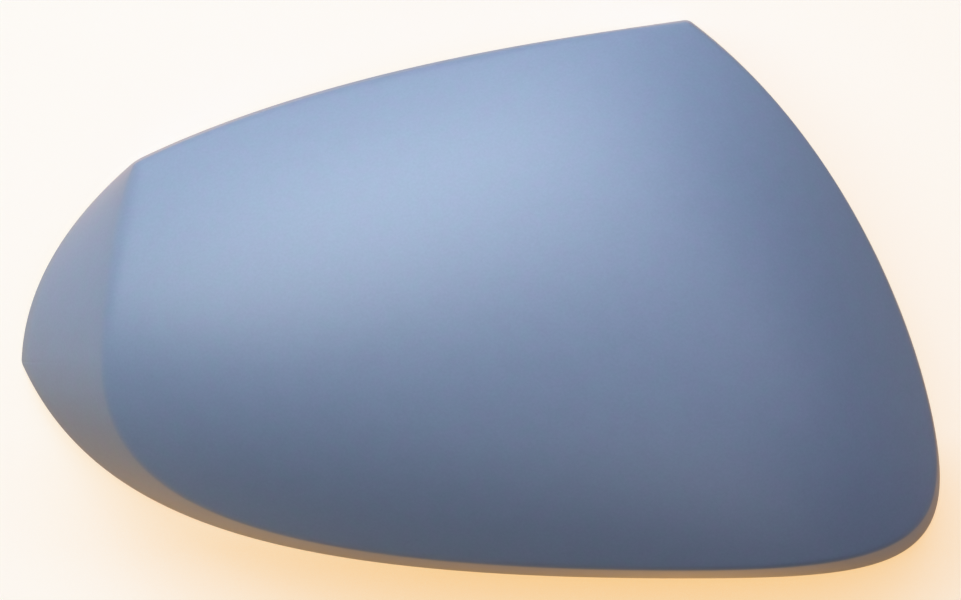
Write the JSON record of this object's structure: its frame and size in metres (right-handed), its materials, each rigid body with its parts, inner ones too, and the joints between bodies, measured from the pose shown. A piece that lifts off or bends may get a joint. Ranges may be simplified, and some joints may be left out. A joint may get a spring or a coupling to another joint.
{
  "type": "wing mirror cover",
  "caption": "Moulded shell cover for a door mirror: smooth crowned face, side band round the tip and lower edge, clips and locating pins inside.",
  "frame": {"origin": "centre of the cover's box in plan, on the plane that its rim rests on", "axes": "+X from the outer tip to the inboard edge, +Y from the lower edge to the upper corner, +Z from the rim to the crown"},
  "size_m": [0.24, 0.146, 0.0643],
  "materials": {
    "primer": "satin blue-grey primer"
  },
  "bodies": {
    "root": {"mirror_cover": "primer"}
  },
  "joints": []
}
